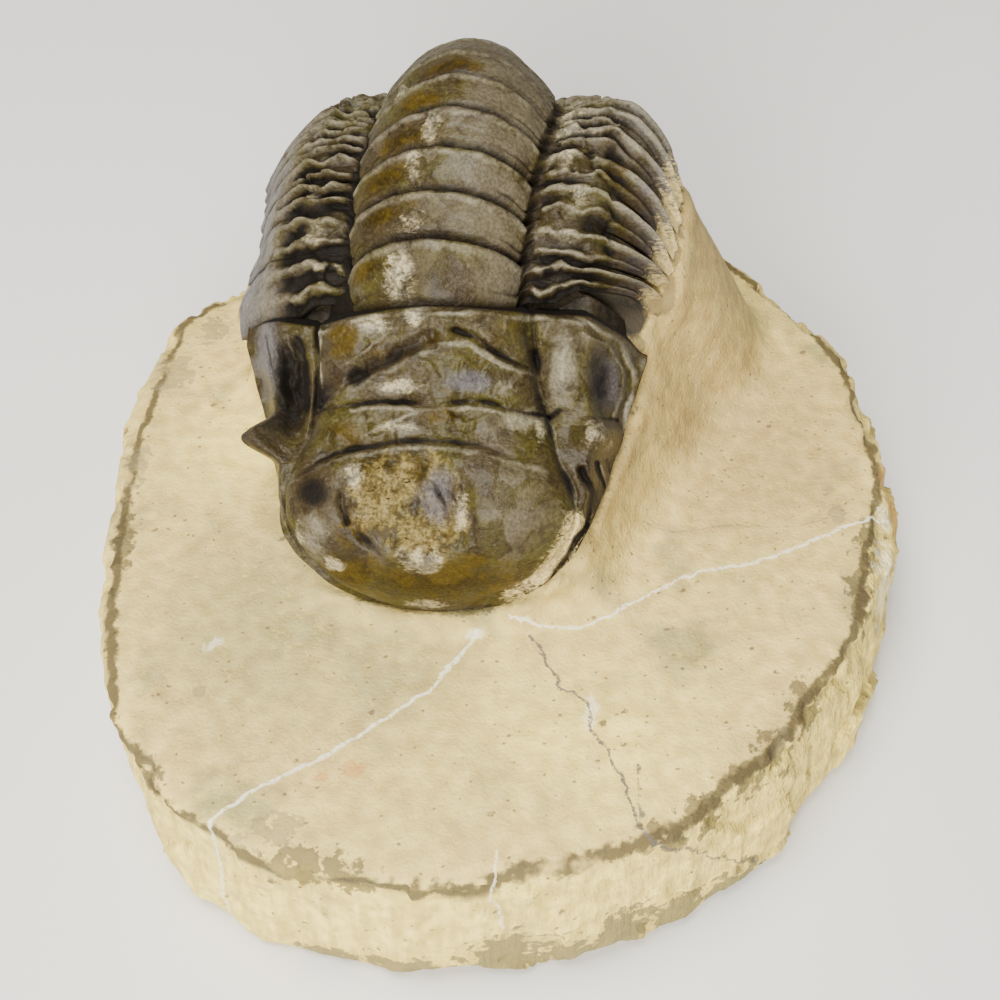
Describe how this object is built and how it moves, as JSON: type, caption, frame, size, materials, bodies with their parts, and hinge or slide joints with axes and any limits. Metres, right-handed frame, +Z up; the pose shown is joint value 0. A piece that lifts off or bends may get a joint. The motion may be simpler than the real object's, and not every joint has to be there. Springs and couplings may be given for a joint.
{
  "type": "trilobite fossil on matrix",
  "caption": "Arched spiny trilobite, prepared in full relief on a hand-trimmed disc of pale limestone: a display fossil that stands on its flat base.",
  "frame": {"origin": "the middle of the stone's outline, on its flat underside", "axes": "+Z up out of the stone; the head faces -Y, the tail +Y, and +X is on the right seen from the head's side"},
  "size_m": [0.0644, 0.0709, 0.0405],
  "materials": {
    "matrix": "dry, matt, rough-trimmed limestone",
    "fossil": "dark mineralised shell with a dull gloss"
  },
  "bodies": {
    "root": {"matrix": "matrix", "cephalon": "fossil", "thorax_segment_01": "fossil", "thorax_segment_02": "fossil", "thorax_segment_03": "fossil", "thorax_segment_04": "fossil", "thorax_segment_05": "fossil", "thorax_segment_06": "fossil", "thorax_segment_07": "fossil", "thorax_segment_08": "fossil", "thorax_segment_09": "fossil", "thorax_segment_10": "fossil", "thorax_segment_11": "fossil", "pygidium": "fossil"}
  },
  "joints": []
}
